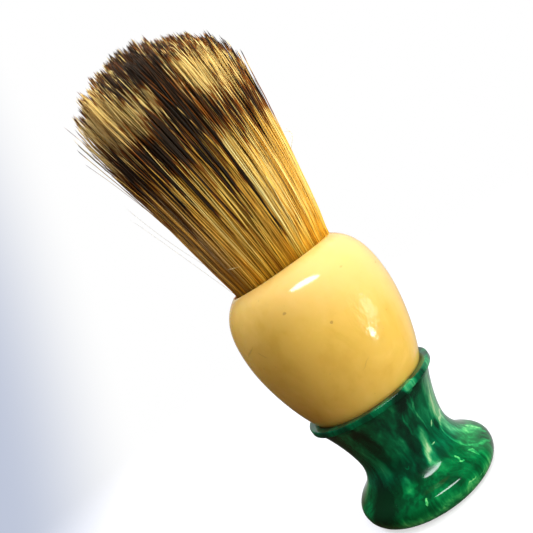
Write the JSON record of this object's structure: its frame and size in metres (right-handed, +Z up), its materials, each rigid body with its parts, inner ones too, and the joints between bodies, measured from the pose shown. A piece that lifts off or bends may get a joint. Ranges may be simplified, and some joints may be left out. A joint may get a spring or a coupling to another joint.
{
  "type": "shaving brush",
  "caption": "Shaving brush: banded bristle knot in a round ivory resin bulb that screws onto a waisted, flared green marbled resin foot.",
  "frame": {"origin": "centre of the foot's underside, on the surface the brush stands on", "axes": "+Z up along the brush's axis, from the foot to the tips of the bristles; the brush is round, and the pictured side faces -Y"},
  "size_m": [0.036, 0.036, 0.111],
  "materials": {
    "green_resin": "polished, marbled emerald and black-green with pale pearly streaks",
    "ivory_resin": "polished, aged ivory to butterscotch with faint mottling",
    "stud_brass": "turned, dull",
    "washer_fibre": "pressed fibre, matt",
    "cement": "set cement, satin",
    "setting_rubber": "hard rubber, matt",
    "binding_cord": "waxed cord",
    "bristle": "natural bristle, banded honey, black-brown and cream with dark tips"
  },
  "bodies": {
    "base": {"base_shell": "green_resin", "joining_stud": "stud_brass"},
    "seal": {"seal_ring": "washer_fibre"},
    "bulb": {"bulb_shell": "ivory_resin", "knot_cement": "cement", "knot_plug": "setting_rubber", "knot_binding": "binding_cord", "bristle_root": "bristle"},
    "bristles": {"bristle_head": "bristle"}
  },
  "joints": [
    {"name": "bulb_rise", "type": "slide", "parent": "base", "child": "seal", "axis": [0, 0, 1], "range_m": [0, 0.00794]},
    {"name": "bulb_unscrew", "type": "hinge", "parent": "seal", "child": "bulb", "pos_m": [0, 0, 0.0223], "axis": [0, 0, 1], "range_deg": [0, 1800]},
    {"name": "bristle_bend", "type": "hinge", "parent": "bulb", "child": "bristles", "pos_m": [0, 0, 0.0565], "axis": [0, 1, 0], "range_deg": [-30, 30], "stiffness_Nm_per_rad": 0.14}
  ],
  "couplings": [
    {"joint": "bulb_rise", "follows": "bulb_unscrew", "m_per_rad": 0.00025266}
  ]
}
